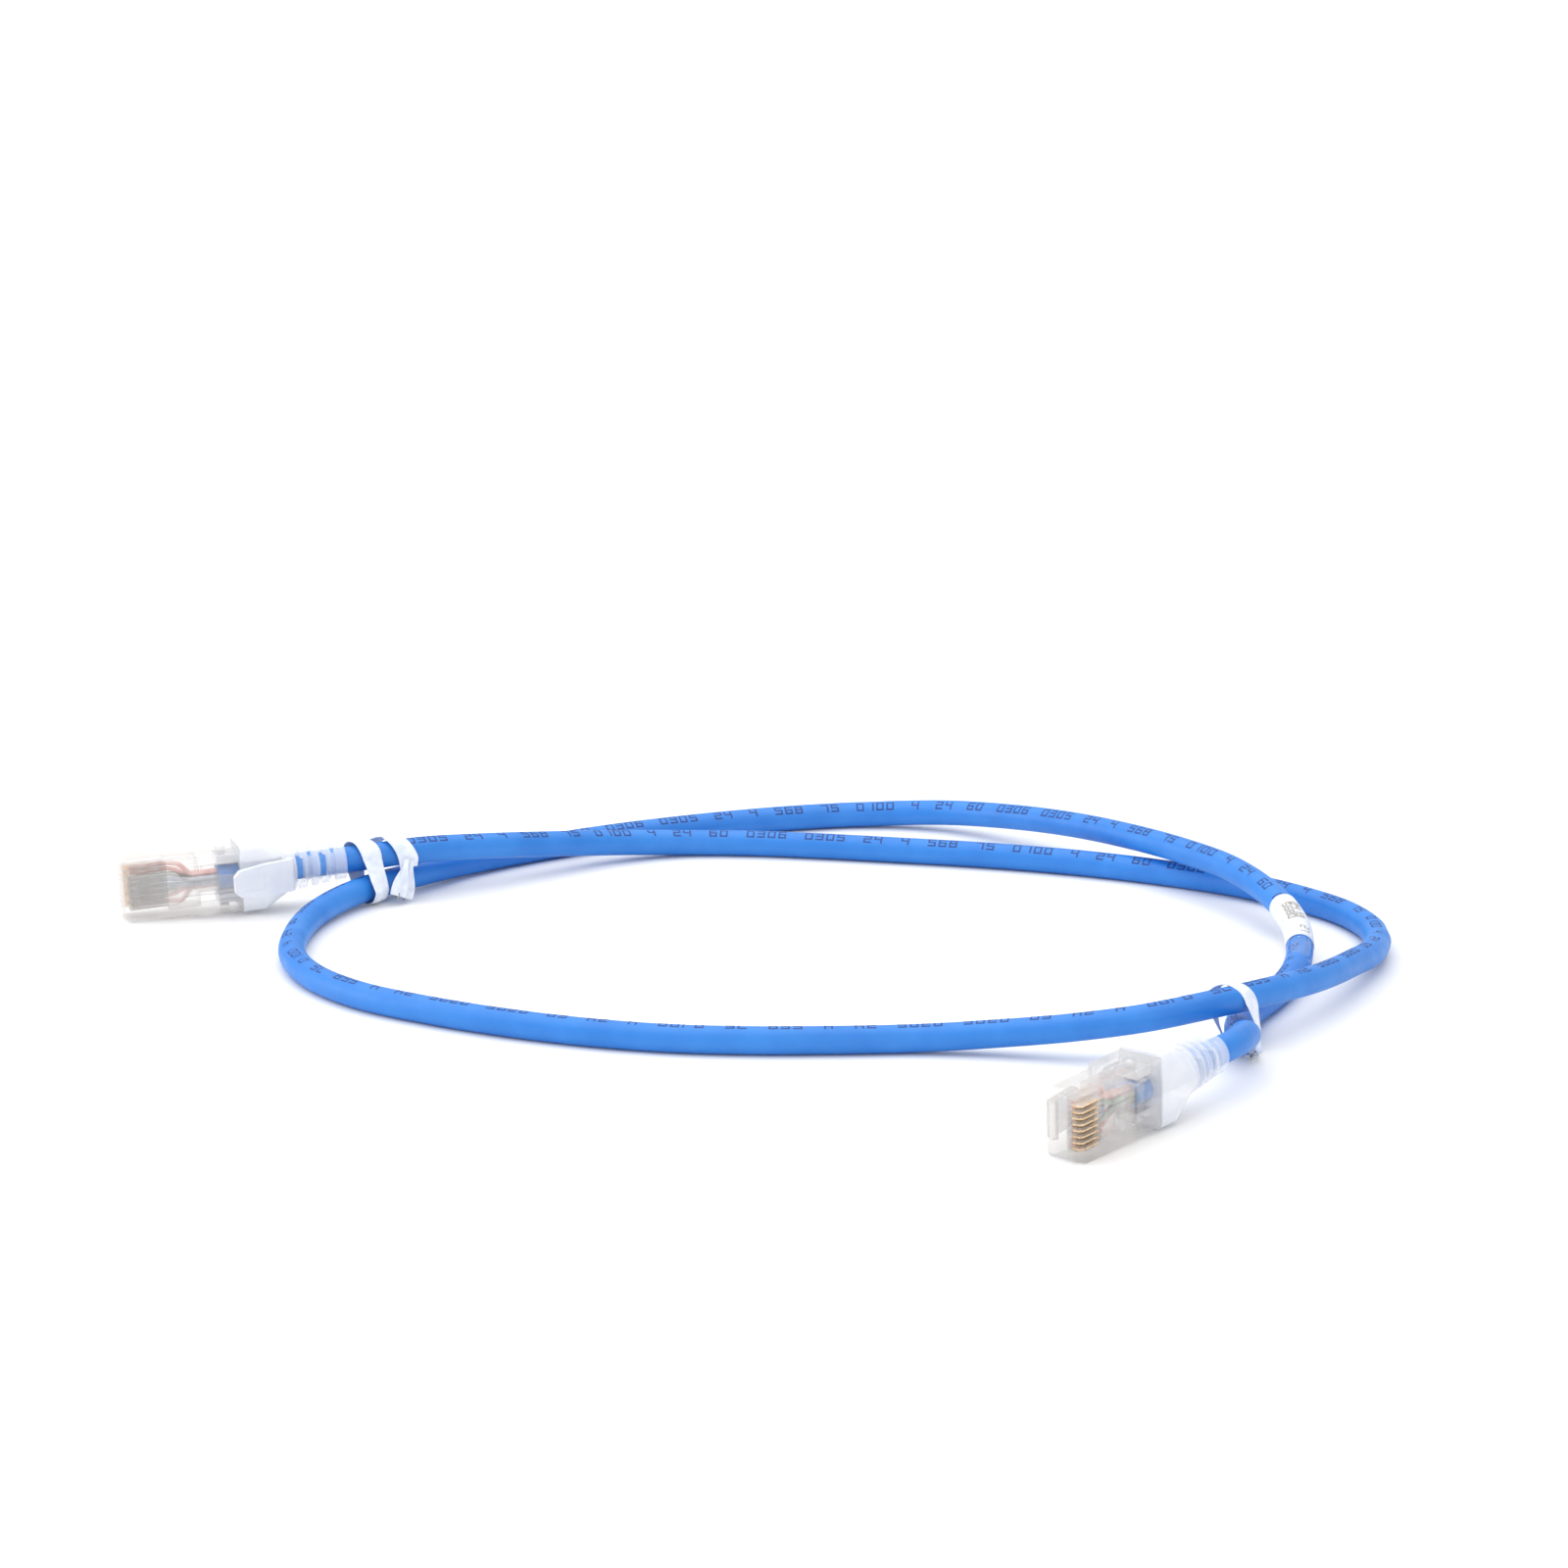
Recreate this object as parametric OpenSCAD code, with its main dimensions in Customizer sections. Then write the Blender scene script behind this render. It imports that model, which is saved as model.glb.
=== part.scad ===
// Ethernet patch cable: a twisted-pair cord coiled flat and tied, with an 8-position
// modular plug in a snag-guard boot at each end. Millimetres, Z up, floor at Z = 0.
//
// A plug is drawn in its own frame: X runs from the nose back to the cable, Y runs
// across the row of contacts, Z rises from the contact face to the latch.

/* [Cable] */
// Outside diameter of the jacket
cable_od = 4.8; // [4.6:0.05:5]
// Thickness of the jacket wall
jacket_wall = 0.6; // [0.5:0.05:0.65]
// Diameter over the insulation of one conductor
wire_od = 0.86; // [0.78:0.02:0.88]
// Diameter of the copper core of one conductor
core_d = 0.46; // [0.36:0.02:0.56]
// Sides of the swept jacket
cable_sides = 10; // [8:1:12]

/* [Plug housing] */
// Width across the row of contacts
plug_w = 11.68; // [11.5:0.02:12.2]
// Length from the nose to the rear face
plug_len = 21.46; // [21.3:0.02:23]
// Height of the front part, without the latch
nose_h = 6.6; // [6.5:0.05:7]
// Height of the raised shoulders beside the lever
shoulder_h = 8; // [7.9:0.05:8.4]
// Distance from the nose to the raised shoulders
shoulder_x = 13; // [12:0.1:14]
// Radius of the nose corners, seen from the latch side
nose_r = 1.5; // [0.8:0.1:2]
// Height of the cord's axis above the contact face
axis_z = 4; // [3.9:0.05:4.1]
// Thickness of the outer walls round the inner spaces
shell_wall = 1.3; // [1.1:0.05:1.4]
// Distance from the nose to the jacket's end inside the plug
jacket_x = 17.7; // [17.5:0.1:18.2]
// Length of the strain relief bar behind the wires' space
relief_len = 2; // [1.6:0.1:2.2]

/* [Contacts] */
// Distance between neighbouring contacts
pitch = 1.016; // [1:0.004:1.03]
// Number of contacts
positions = 8; // [8]
// Thickness of one contact blade
blade_t = 0.35; // [0.25:0.05:0.4]
// Width of the slot that a blade sits in
slot_w = 0.6; // [0.55:0.05:0.7]
// Depth of the blade's edge below the contact face
blade_recess = 0.45; // [0.3:0.05:0.6]
// Length of one contact blade
blade_len = 4.5; // [4:0.1:4.8]
// Height of the wires' row above the contact face
row_z = 2.9; // [2.8:0.05:3]

/* [Load bar] */
// Length of the bar that lines up the wires
bar_len = 6.5; // [6:0.1:6.8]
// Height of the bar
bar_h = 1.7; // [1.5:0.05:1.8]
// Distance from the nose to the front of the bar
bar_front = 1.5; // [1.3:0.1:1.8]

/* [Latch] */
// Width of the lever at its root
lever_w = 6; // [5.6:0.1:6.2]
// Width of the lever behind its locking steps
lever_tip_w = 3.25; // [2.8:0.05:3.6]
// Distance from the root to the locking steps
lever_step = 8; // [7.5:0.1:8.5]
// Length of the lever from its root
lever_len = 19.1; // [18:0.1:19.4]
// Thickness of the lever
lever_t = 1.1; // [0.9:0.05:1.2]
// Radius of the lever's root
root_r = 0.75; // [0.6:0.05:0.8]
// Distance from the nose to the root's axis
root_x = 1.5; // [1.4:0.05:1.8]
// Rise of the lever at rest, in degrees
lever_rise = 8; // [7:0.5:8.5]

/* [Boot] */
// Length of the boot behind the housing
boot_len = 19.84; // [19:0.02:22]
// Width of the hood
hood_w = 12.6; // [12:0.1:13]
// Height of the hood
hood_h = 8.7; // [8.4:0.1:9]
// Length of the hood
hood_len = 4.1; // [3.6:0.1:4.5]
// Diameter where the ribbed tail begins
tail_d1 = 9; // [8.6:0.1:9.4]
// Diameter at the tail's end
tail_d2 = 6.6; // [6.2:0.1:7.4]
// Number of ribs along the tail
ribs = 5; // [4:1:6]
// Width of the groove between two ribs
rib_gap = 0.95; // [0.6:0.05:1.1]
// Thickness of the web left at the bottom of the grooves
web_t = 0.35; // [0.3:0.05:0.5]
// Length of the press pad from its root
pad_len = 11.1; // [10:0.1:11.4]
// Width of the press pad at its front
pad_w1 = 5; // [4:0.1:5.4]
// Width of the press pad at its root
pad_w2 = 6; // [5.6:0.1:6.2]
// Thickness of the press pad
pad_t = 1; // [0.8:0.05:1.2]
// Radius of the press pad's root
pad_root_r = 0.7; // [0.6:0.05:0.8]
// Depth of the thumb recess in the press pad
recess_d = 0.3; // [0.2:0.05:0.5]

/* [Label and ties] */
// Thickness of the label's film
label_t = 0.15; // [0.1:0.05:0.3]
// Width of the ribbon of a twist tie
tie_w = 3.2; // [2.4:0.1:3.6]
// Thickness of the ribbon of a twist tie
tie_t = 0.4; // [0.3:0.05:0.5]
// Diameter of one strand in a tie's twisted end
strand_d = 1.1; // [0.9:0.05:1.3]
// Diameter of the steel wire inside a tie
tie_wire_d = 0.5; // [0.4:0.05:0.6]

/* [Fits] */
// Gap between pieces that touch or slide
fit = 0.1; // [0.05:0.01:0.12]
// Gap between a hinge root and its groove
hinge_gap = 0.05; // [0.03:0.01:0.08]
// Gap between the lever's tip and the press pad above it
pad_gap = 0.3; // [0.2:0.05:0.5]

/* [Hidden] */
$fn = 48;

// Colours
clear = [0.86, 0.89, 0.92, 0.55];
clear_boot = [0.82, 0.87, 0.93, 0.7];
jacket_blue = [0.27, 0.54, 0.89];
gold = [0.86, 0.69, 0.33];
copper = [0.78, 0.45, 0.28];
orange = [0.93, 0.55, 0.25];
green = [0.3, 0.66, 0.42];
blue = [0.2, 0.35, 0.8];
brown = [0.5, 0.33, 0.22];

// Where the cord's ends leave the boots, and how the plugs lie
end_a = [-56, 74.7, 7.9];
yaw_a = 17.5;
end_b = [94.5, -43.3, 7.6];
yaw_b = 50.5;
plug_total = plug_len + boot_len;

// A plug lies on its side on one rounded nose corner, so the height of its cord end
// sets its tilt.
corner_back = plug_total - nose_r;
corner_down = plug_w / 2 - nose_r;
function tilt_of(z) = atan2(corner_back, corner_down)
    - acos((z - nose_r) / norm([corner_back, corner_down]));
tilt_a = tilt_of(end_a.z);
tilt_b = tilt_of(end_b.z);
function heading(yaw, tilt) = [cos(yaw) * cos(tilt), sin(yaw) * cos(tilt), sin(tilt)];

// Route of the cord's axis from boot A to boot B, by hand: two turns on the floor,
// in long low humps where one run lies over another
lead = 6;
route = [
    end_a, end_a + lead * heading(yaw_a, tilt_a),
    [-43.5, 79.2, 8.5], [-32, 85.4, 7.6], [-20, 94, 5.7], [-8, 102, 3.8],
    [5, 106.6, 2.6], [18, 106.8, 2.4], [32, 104.8, 2.4], [46, 102, 2.4],
    [60, 99, 2.4], [74, 95, 2.4], [87, 90, 2.4], [99, 84, 2.4],
    [110, 77, 2.4], [119.5, 68, 2.4], [127, 57.5, 2.4], [130.6, 45, 2.4],
    [129, 32, 3.2], [123.5, 17.5, 5], [115, 0.8, 7], [106, -10.8, 8.3],
    [96.5, -18.8, 8.6], [85, -22.8, 7.4], [73, -22, 5.5], [61, -19.8, 3.8],
    [48, -18.5, 2.6], [34, -19, 2.4], [20, -19.2, 2.4], [6, -18, 2.4],
    [-8, -14.5, 2.4], [-22, -9, 2.4], [-36, -1.5, 2.4], [-48, 7, 2.4],
    [-57, 18.5, 2.4], [-61.5, 31, 2.4], [-62, 44, 2.4], [-59.5, 58, 2.6],
    [-53.8, 70, 2.9], [-45, 81, 2.9], [-35, 92, 2.6], [-24.5, 101, 2.4],
    [-12.5, 109, 2.4], [0.5, 115.8, 2.4], [14.5, 121.6, 2.4], [28.5, 126, 2.4],
    [43, 128, 2.6], [56, 125, 3.6], [68, 116.8, 5], [79, 106, 6.4],
    [89, 94, 7.4], [98.5, 81.5, 7.9], [107, 69, 7.7], [113, 55.8, 6.4],
    [116, 43, 4.6], [115.8, 31, 3], [112.8, 17, 2.4], [108.6, 6, 2.4],
    [104.8, -2, 2.4], [101.8, -9.9, 2.6], [101.1, -17.4, 3.2], [101.4, -24.9, 5.2],
    [100.8, -32.2, 7.2],
    end_b + lead * heading(yaw_b, tilt_b), end_b
];

// How far a cut runs past the face that it opens
past = 1;

// Fixed places inside a plug
jacket_r = cable_od / 2;
bore_r = jacket_r - jacket_wall;
wire_gap = 0.07;
ring_r = bore_r - wire_gap - wire_od / 2;
bar_end = bar_front + bar_len;
gather_x = bar_end + 5.2;
root_z = nose_h - 0.1;
channel_w = lever_w + 0.8;
channel_x = shoulder_x - 2;
channel_z = nose_h + 0.4;
ramp = 1;
blade_x = 0.75;
blade_corner = 0.5;
slot_x2 = blade_x + blade_len + 0.3;
tooth_w = 0.5;
tooth_step = 1.25;
tooth_root = row_z - wire_od / 2 - 0.35;
chamber_gap = 0.2;
chamber_w = positions * pitch + 0.6;
mouth_w = chamber_w + 0.3;
mouth_x2 = gather_x + 0.8;
roof_t = 0.5;
window_w = 6.4;
core_x1 = bar_end + 0.9;
core_x2 = core_x1 + 1.5;
relief_x1 = mouth_x2 + 0.4;
relief_gap = 0.9;
relief_x2 = relief_x1 + relief_len + 2 * relief_gap;
relief_z = 0.4;
relief_top = axis_z - ring_r - wire_od / 2 - fit / 2;
relief_grip = 0.2;

// Fixed places on a lever
lever_low = 0.15;
neck_t = lever_t * 0.75;
step_len = 1.4;
neck_x = lever_step + step_len + 0.8;
tip_x = root_x + lever_len * cos(lever_rise);
tip_z = root_z + lever_len * sin(lever_rise) + (lever_low + neck_t) * cos(lever_rise);

// Fixed places on a boot
boot_x = plug_len;
hood_z = axis_z - hood_h / 2 + 0.05;
hood_top = hood_z + hood_h;
hood_r = 1.2;
round_sides = 32;
tail_x = boot_x + 9;
seam = 0.2;
web_r = jacket_r + fit + web_t;
window_top = 0.25;
window_side = 0.2;
pad_x = tail_x - 0.1;
pad_z = axis_z + tail_d1 / 2 + 0.1;
pad_low = 0.1;
pad_slot_w = pad_w2 + 0.6;
pad_slot_z = hood_top - 0.8;
pad_slot_x2 = pad_x - pad_root_r - 0.6;
pad_taper = 0.45;
pad_corner = 1;
recess_x = 1.4;
recess_len = 4.2;
recess_edge = 0.9;
// Rise of the press pad that leaves the gap above the lever's tip
pad_rise = asin((tip_z + pad_gap - pad_z - pad_low) / (pad_x - tip_x));
tongue_in = jacket_r + 0.5;
tongue_out = tongue_in + 1.5;
tongue_h = 4.2;
tongue_len = 4;
tongue_root = 0.5;
catch_x = plug_len - tongue_len + 0.4;
catch_w = 0.9;
catch_len = 1.4;
catch_h = 1.6;
catch_root = 0.1;

// ---------------------------------------------------------------- sweeps

function unit(v) = v / norm(v);
function tangent(p, i) =
    i == 0 ? unit(p[1] - p[0])
    : i == len(p) - 1 ? unit(p[i] - p[i - 1])
    : unit(unit(p[i + 1] - p[i]) + unit(p[i] - p[i - 1]));

// Points of one ring round point i of path p, level with the floor
function ring(p, i, r, n) =
    let (t = tangent(p, i), side = unit(cross(t, [0, 0, 1])), up = cross(side, t))
    [for (k = [0:n - 1]) p[i] + r * (cos(k * 360 / n + 90) * side + sin(k * 360 / n + 90) * up)];

// A ring part of the way from ring i to the next, on the same straight sides
function between(p, i, f, r, n) =
    let (a = ring(p, i, r, n), b = ring(p, i + 1, r, n))
    [for (k = [0:n - 1]) a[k] * (1 - f) + b[k] * f];

// A solid through a list of rings
module skin(rings) {
    n = len(rings[0]);
    m = len(rings);
    points = [for (q = rings) each q];
    sides = [for (i = [0:m - 2], k = [0:n - 1], h = [0, 1])
        let (a = i * n + k, b = i * n + (k + 1) % n)
        h == 0 ? [a, b, b + n] : [a, b + n, a + n]];
    start = [for (k = [1:n - 2]) [0, k + 1, k]];
    end = [for (k = [1:n - 2]) (m - 1) * n * [1, 1, 1] + [0, k, k + 1]];
    polyhedron(points, concat(sides, start, end));
}

// A hollow sleeve between an inner and an outer list of rings
module sleeve(inner, outer) {
    n = len(inner[0]);
    m = len(inner);
    o = n * m;
    points = concat([for (q = inner) each q], [for (q = outer) each q]);
    in_sides = [for (i = [0:m - 2], k = [0:n - 1], h = [0, 1])
        let (a = i * n + k, b = i * n + (k + 1) % n)
        h == 0 ? [a, b + n, b] : [a, a + n, b + n]];
    out_sides = [for (i = [0:m - 2], k = [0:n - 1], h = [0, 1])
        let (a = o + i * n + k, b = o + i * n + (k + 1) % n)
        h == 0 ? [a, b, b + n] : [a, b + n, a + n]];
    start = [for (k = [0:n - 1], h = [0, 1])
        let (a = k, b = (k + 1) % n)
        h == 0 ? [a, b, o + b] : [a, o + b, o + a]];
    e = (m - 1) * n;
    end = [for (k = [0:n - 1], h = [0, 1])
        let (a = e + k, b = e + (k + 1) % n)
        h == 0 ? [a, o + b, b] : [a, o + a, o + b]];
    polyhedron(points, concat(in_sides, out_sides, start, end));
}

// Length of the cord's free stretch and its least gap to itself
function total(v, i = 0) = i == len(v) ? 0 : v[i] + total(v, i + 1);
steps = [for (i = [1:len(route) - 1]) norm(route[i] - route[i - 1])];
fine = [for (i = [0:len(route) - 2], f = [0, 0.25, 0.5, 0.75]) route[i] * (1 - f) + route[i + 1] * f];
near = 20;
self_gap = min([for (i = [0:len(fine) - near - 1]) min([for (j = [i + near:len(fine) - 1])
    norm(fine[i] - fine[j])])]) - cable_od;
echo(free_length = total(steps), cord_length = total(steps) + 2 * plug_total, self_gap = self_gap);

// ---------------------------------------------------------------- one plug

function pin_y(k) = (positions - 1) / 2 * pitch - k * pitch;
module each_pin() for (k = [0:positions - 1]) translate([0, pin_y(k), 0]) children();

// A block along X with its ends at x1 and x2, centred across the plug
module block(x1, x2, w, z1, z2) translate([x1, -w / 2, z1]) cube([x2 - x1, w, z2 - z1]);

// A round bar across the plug
module rod_y(x, z, r, w) translate([x, w / 2, z]) rotate([90, 0, 0]) cylinder(r = r, h = w);

// A round bar along the cord's axis
module rod_x(x1, x2, r) translate([x1, 0, axis_z]) rotate([0, 90, 0]) cylinder(r = r, h = x2 - x1);

// An outline in X and Z, as thick as w across the plug
module slice(w) translate([0, w / 2, 0]) rotate([90, 0, 0]) linear_extrude(w) children();

module housing_body() {
    intersection() {
        slice(plug_w) polygon([[0, 0], [plug_len, 0], [plug_len, shoulder_h],
            [shoulder_x, shoulder_h], [shoulder_x - ramp, nose_h], [0, nose_h]]);
        linear_extrude(shoulder_h) {
            translate([nose_r, -plug_w / 2]) square([plug_len - nose_r, plug_w]);
            translate([0, nose_r - plug_w / 2]) square([plug_len, plug_w - 2 * nose_r]);
            for (s = [-1, 1]) translate([nose_r, s * (plug_w / 2 - nose_r)]) circle(nose_r);
        }
    }
}

module housing() {
    color(clear) difference() {
        housing_body();
        // contact slots, open to the nose and to the contact face
        each_pin() block(-past, slot_x2, slot_w, -past, row_z - wire_od / 4);
        // chamber of the load bar, space for the wires and hole for the cord
        block(bar_front - chamber_gap, bar_end + chamber_gap, chamber_w,
            row_z - bar_h / 2 - fit / 2, row_z + bar_h / 2 + fit / 2);
        block(bar_end + fit, mouth_x2, mouth_w, shell_wall, nose_h - roof_t);
        rod_x(mouth_x2 - past, plug_len + past, jacket_r + fit);
        // strain relief window and the moulding window in front of it
        block(relief_x1, relief_x2, window_w, -past, axis_z - jacket_r);
        block(core_x1, core_x2, window_w, -past, shell_wall + past);
        // groove of the lever's root and channel under its tail
        rod_y(root_x, root_z, root_r + hinge_gap, lever_w + 2 * fit);
        block(channel_x, plug_len + past, channel_w, channel_z, shoulder_h + past);
        // pockets and side windows for the boot's tongues
        for (s = [-1, 1]) {
            beside(s, plug_len - tongue_len - fit, plug_len + past,
                tongue_in - fit, tongue_out + fit, tongue_h + 2 * fit);
            beside(s, catch_x - fit, catch_x + catch_len + fit,
                tongue_out, plug_w / 2 + past, catch_h + 2 * fit);
        }
    }
    // bar of the strain relief, pressed against the wires
    color(clear) block(relief_x1 + relief_gap, relief_x2 - relief_gap,
        window_w + 2 * relief_grip, relief_z, relief_top);
}

// A block on side s of the cord's axis, from y1 to y2 out, centred in height on the axis
module beside(s, x1, x2, y1, y2, h) translate([x1, s > 0 ? y1 : -y2, axis_z - h / 2])
    cube([x2 - x1, y2 - y1, h]);

module latch() {
    color(clear) {
        rod_y(root_x, root_z, root_r, lever_w);
        translate([root_x, 0, root_z]) rotate([0, -lever_rise, 0]) difference() {
            translate([0, 0, lever_low]) linear_extrude(lever_t) polygon([
                [0, -lever_w / 2], [lever_step, -lever_w / 2],
                [lever_step + step_len, -lever_tip_w / 2], [lever_len, -lever_tip_w / 2],
                [lever_len, lever_tip_w / 2], [lever_step + step_len, lever_tip_w / 2],
                [lever_step, lever_w / 2], [0, lever_w / 2]]);
            // thin neck behind the locking steps
            block(neck_x, lever_len + past, lever_w, lever_low + neck_t, lever_low + lever_t + past);
        }
    }
}

// A contact blade: its edge lies below the contact face and its teeth reach the core
module blade() slice(blade_t) polygon(concat(
    [[blade_x, blade_recess + blade_corner], [blade_x + blade_corner, blade_recess],
        [blade_x + blade_len, blade_recess], [blade_x + blade_len, tooth_root]],
    [for (k = [2:-1:0]) each [[tooth_x(k) + tooth_w, tooth_root],
        [tooth_x(k) + tooth_w / 2, row_z], [tooth_x(k), tooth_root]]],
    [[blade_x, tooth_root]]));
function tooth_x(k) = blade_x + 1 + k * tooth_step;

module contacts() color(gold) each_pin() blade();

module load_bar() color(clear) difference() {
    block(bar_front, bar_end, chamber_w - 2 * fit, row_z - bar_h / 2, row_z + bar_h / 2);
    each_pin() {
        translate([0, 0, row_z]) rotate([0, 90, 0]) cylinder(d = wire_od + 0.06, h = bar_end + past);
        block(0, blade_x + blade_len + fit, slot_w - fit, row_z - bar_h, row_z + fit / 2);
    }
}

// Way of wire k from the load bar into the jacket. The outer wires climb first and
// close in later, so that they pass their neighbours.
ring_angle = [22.5, -22.5, -67.5, 67.5, 112.5, -112.5, -157.5, 157.5];
function ease(f) = let (g = min(1, max(0, f))) g * g * (3 - 2 * g);
function lag(k) = k == 0 || k == positions - 1 ? 0.4 : 0;
function wire_at(k, f) = let (
        y = pin_y(k) + (ring_r * cos(ring_angle[k]) - pin_y(k)) * ease((f - lag(k)) / (1 - lag(k))),
        z = row_z + (axis_z + ring_r * sin(ring_angle[k]) - row_z) * ease(f / (1 - lag(k))))
    [wire_bend + (gather_x - wire_bend) * f, y, z];
wire_front = bar_front + 0.3;
core_len = bar_len - 1.2;
wire_bend = bar_end + 0.4;
wire_steps = 8;
wire_sides = 8;

module wire(k) {
    way = concat([[bar_end, pin_y(k), row_z]], [for (i = [0:wire_steps]) wire_at(k, i / wire_steps)],
        [[plug_total, wire_at(k, 1).y, wire_at(k, 1).z]]);
    skin([for (i = [0:len(way) - 1]) ring(way, i, wire_od / 2, wire_sides)]);
    difference() {
        translate([wire_front, pin_y(k), row_z]) rotate([0, 90, 0])
            cylinder(d = wire_od, h = bar_end - wire_front);
        translate([wire_front - past, pin_y(k), row_z]) rotate([0, 90, 0])
            cylinder(d = core_d + 0.02, h = past + core_len + 0.4);
        tooth_cuts(k);
    }
}

// Slits where the teeth of blade k have pierced the insulation
module tooth_cuts(k) for (t = [0:2]) translate([tooth_x(t) - fit / 2, pin_y(k) - blade_t / 2 - fit / 4,
    row_z - wire_od]) cube([tooth_w + fit, blade_t + fit / 2, wire_od + fit / 4]);

module pair(a, b, paint) color(paint) {
    wire(a);
    wire(b);
}

module wire_cores() color(copper) for (k = [0:positions - 1]) difference() {
    translate([wire_front, pin_y(k), row_z]) rotate([0, 90, 0])
        cylinder(d = core_d, h = core_len);
    tooth_cuts(k);
}

module jacket_end() color(jacket_blue) difference() {
    rod_x(jacket_x, plug_total, jacket_r);
    rod_x(jacket_x - past, plug_total + past, bore_r);
}

// Outline of the tail: ribs that taper towards the cord's end, on a thin web
rib_len = (plug_total - tail_x) / ribs;
function tail_r(x) = tail_d1 / 2 + (tail_d2 - tail_d1) / 2 * (x - tail_x) / (plug_total - tail_x);
module tail() {
    translate([0, 0, axis_z]) rotate([0, 90, 0]) rotate_extrude() polygon(concat(
        [[0, tail_x - seam]],
        [for (i = [0:ribs - 1]) let (x = tail_x + i * rib_len, e = x + rib_len - rib_gap) each concat(
            [[tail_r(x), i == 0 ? tail_x - seam : x], [tail_r(e), e]],
            i < ribs - 1 ? [[web_r, e], [web_r, e + rib_gap]] : [])],
        [[tail_r(plug_total - rib_gap), plug_total], [0, plug_total]]));
}

module boot() color(clear_boot) {
    difference() {
        union() {
            hull() {
                hood_slab();
                rod_x(tail_x - 3 * seam, tail_x - seam, tail_d1 / 2, $fn = round_sides);
            }
            tail();
        }
        rod_x(boot_x - past, plug_total + past, jacket_r + fit);
        // channel that the press pad sinks into, and groove of its root
        block(boot_x - past, pad_slot_x2, pad_slot_w, pad_slot_z, hood_top + past);
        rod_y(pad_x, pad_z, pad_root_r + hinge_gap, pad_w2 + 2 * fit);
        // windows through the ribbed tail, above and below, then on both sides
        for (i = [1, 3]) block(tail_x + (i - window_top) * rib_len,
            tail_x + (i + window_top) * rib_len, cable_od, axis_z - tail_d1, axis_z + tail_d1);
        for (i = [2, 4]) block(tail_x + (i - window_side) * rib_len,
            tail_x + (i + window_side) * rib_len, 2 * tail_d1, axis_z - bore_r, axis_z + bore_r);
    }
    // tongues that snap into the housing's side windows
    for (s = [-1, 1]) {
        beside(s, boot_x - tongue_len, boot_x + tongue_root, tongue_in, tongue_out, tongue_h);
        beside(s, catch_x, catch_x + catch_len, tongue_out - catch_root, tongue_out + catch_w, catch_h);
    }
}

// The hood's front block, with round edges along the plug
module hood_slab() {
    y = hood_w / 2 - hood_r;
    for (s = [-1, 1], z = [hood_z + hood_r, hood_top - hood_r])
        translate([boot_x, s * y, z]) rotate([0, 90, 0])
        cylinder(r = hood_r, h = hood_len, $fn = round_sides);
}

module press_pad() color(clear_boot) {
    rod_y(pad_x, pad_z, pad_root_r, pad_w2);
    translate([pad_x, 0, pad_z]) rotate([0, pad_rise, 0]) difference() {
        translate([0, 0, pad_low]) linear_extrude(pad_t) polygon([
            [0, -pad_w2 / 2], [-pad_len * pad_taper, -pad_w2 / 2],
            [-pad_len + pad_corner, -pad_w1 / 2], [-pad_len, -pad_w1 / 2 + pad_corner],
            [-pad_len, pad_w1 / 2 - pad_corner], [-pad_len + pad_corner, pad_w1 / 2],
            [-pad_len * pad_taper, pad_w2 / 2], [0, pad_w2 / 2]]);
        // shallow thumb recess
        block(-pad_len + recess_x, -pad_len + recess_x + recess_len, pad_w1 - 2 * recess_edge,
            pad_low + pad_t - recess_d, pad_low + pad_t + past);
    }
}

// ---------------------------------------------------------------- placing the plugs

module at_a() translate(end_a) rotate([0, -tilt_a, yaw_a]) rotate([90, 0, 0])
    translate([-plug_total, 0, -axis_z]) children();
module at_b() translate(end_b) rotate([0, -tilt_b, yaw_b]) rotate([-90, 0, 0])
    translate([-plug_total, 0, -axis_z]) children();

// ---------------------------------------------------------------- cord, label, ties

module cable() color(jacket_blue)
    skin([for (i = [0:len(route) - 1]) ring(route, i, jacket_r, cable_sides)]);

// Rings round the cord from part f1 of step i1 to part f2 of step i2
function wrap(i1, f1, i2, f2, r) = concat(
    [between(route, i1, f1, r, cable_sides)],
    [for (i = [i1 + 1:i2]) ring(route, i, r, cable_sides)],
    [between(route, i2, f2, r, cable_sides)]);

// Where the label and its clear tail lie: a step of the route and a part of it, twice
label_way = [53, 0.4, 54, 0.8];
film_way = [54, 0.85, 55, 0.5];
label_r = jacket_r + fit / 2;
module on_cord(way, t) sleeve(wrap(way[0], way[1], way[2], way[3], label_r),
    wrap(way[0], way[1], way[2], way[3], label_r + t));
module label_wrap() color("white") on_cord(label_way, label_t);
module label_film() color(clear) on_cord(film_way, label_t / 2);

// A twist tie winds round two stacked runs as an upright oval. x runs along the runs'
// mean heading. The oval leans with the runs as they cross, and its top stands aside
// from its bottom as the upper run does from the lower.
tie_r = jacket_r + 1.08;
function oval(f, low, high, r) =
    let (straight = high - low, arc = PI * r, s = f * (2 * straight + 2 * arc))
    s < straight ? [r, low + s]
    : s < straight + arc ? let (a = (s - straight) / r * 180 / PI) [r * cos(a), high + r * sin(a)]
    : s < 2 * straight + arc ? [-r, high - (s - straight - arc)]
    : let (a = 180 + (s - 2 * straight - arc) / r * 180 / PI) [r * cos(a), low + r * sin(a)];
stack_half = (cable_od + 0.6) / 2;
function leant(x, q, high, set) =
    let (side = max(-1, min(1, (q.y - (tie_low + high) / 2) / stack_half)))
    [x, q.x + (set[tie_aside] - set[tie_lean] * x) * side, q.y];

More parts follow.
